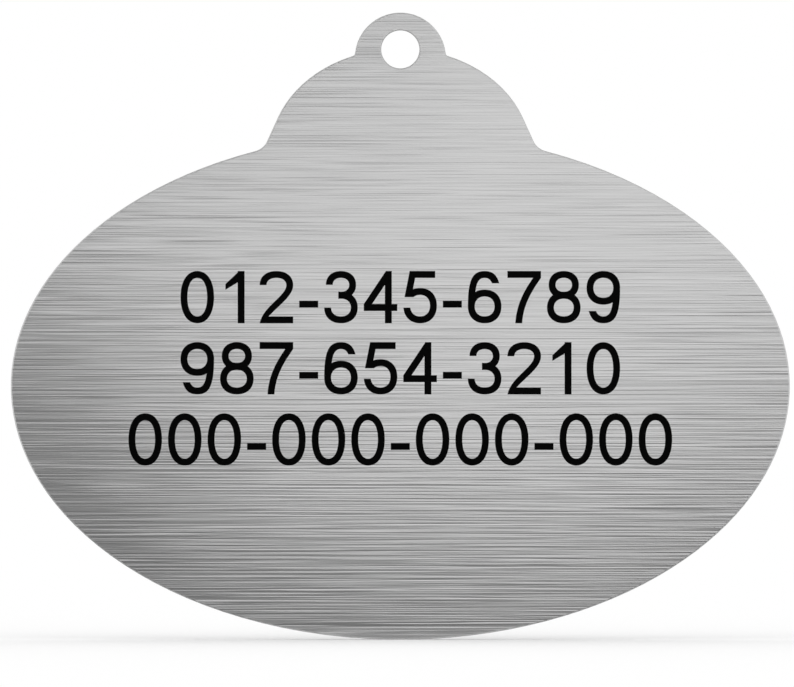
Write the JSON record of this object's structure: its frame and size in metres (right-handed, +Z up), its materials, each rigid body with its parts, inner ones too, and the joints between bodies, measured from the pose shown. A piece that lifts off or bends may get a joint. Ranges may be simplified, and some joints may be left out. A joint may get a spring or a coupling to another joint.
{
  "type": "pet id tag",
  "caption": "Flat oval brushed steel pet tag with a domed crown, a round hanging tab with a ring hole, and plain numbers engraved in lines and filled with black enamel.",
  "frame": {"origin": "middle of the hanging hole, halfway through the plate's thickness", "axes": "+X to the right as the numbers read, +Z up towards the hanging tab, +Y from the numbered front face to the plain back face, along the hole"},
  "size_m": [0.0508, 0.0016, 0.0409],
  "materials": {
    "brushed_plate": "stainless sheet with long horizontal brush lines",
    "black_enamel": "black enamel fill, satin"
  },
  "bodies": {
    "root": {"tag_plate": "brushed_plate", "upper_line_digit_1": "black_enamel", "upper_line_digit_2": "black_enamel", "upper_line_digit_3": "black_enamel", "upper_line_dash_1": "black_enamel", "upper_line_digit_4": "black_enamel", "upper_line_digit_5": "black_enamel", "upper_line_digit_6": "black_enamel", "upper_line_dash_2": "black_enamel", "upper_line_digit_7": "black_enamel", "upper_line_digit_8": "black_enamel", "upper_line_digit_9": "black_enamel", "upper_line_digit_10": "black_enamel", "middle_line_digit_1": "black_enamel", "middle_line_digit_2": "black_enamel", "middle_line_digit_3": "black_enamel", "middle_line_dash_1": "black_enamel", "middle_line_digit_4": "black_enamel", "middle_line_digit_5": "black_enamel", "middle_line_digit_6": "black_enamel", "middle_line_dash_2": "black_enamel", "middle_line_digit_7": "black_enamel", "middle_line_digit_8": "black_enamel", "middle_line_digit_9": "black_enamel", "middle_line_digit_10": "black_enamel", "lower_line_digit_1": "black_enamel", "lower_line_digit_2": "black_enamel", "lower_line_digit_3": "black_enamel", "lower_line_dash_1": "black_enamel", "lower_line_digit_4": "black_enamel", "lower_line_digit_5": "black_enamel", "lower_line_digit_6": "black_enamel", "lower_line_dash_2": "black_enamel", "lower_line_digit_7": "black_enamel", "lower_line_digit_8": "black_enamel", "lower_line_digit_9": "black_enamel", "lower_line_dash_3": "black_enamel", "lower_line_digit_10": "black_enamel", "lower_line_digit_11": "black_enamel", "lower_line_digit_12": "black_enamel"}
  },
  "joints": []
}
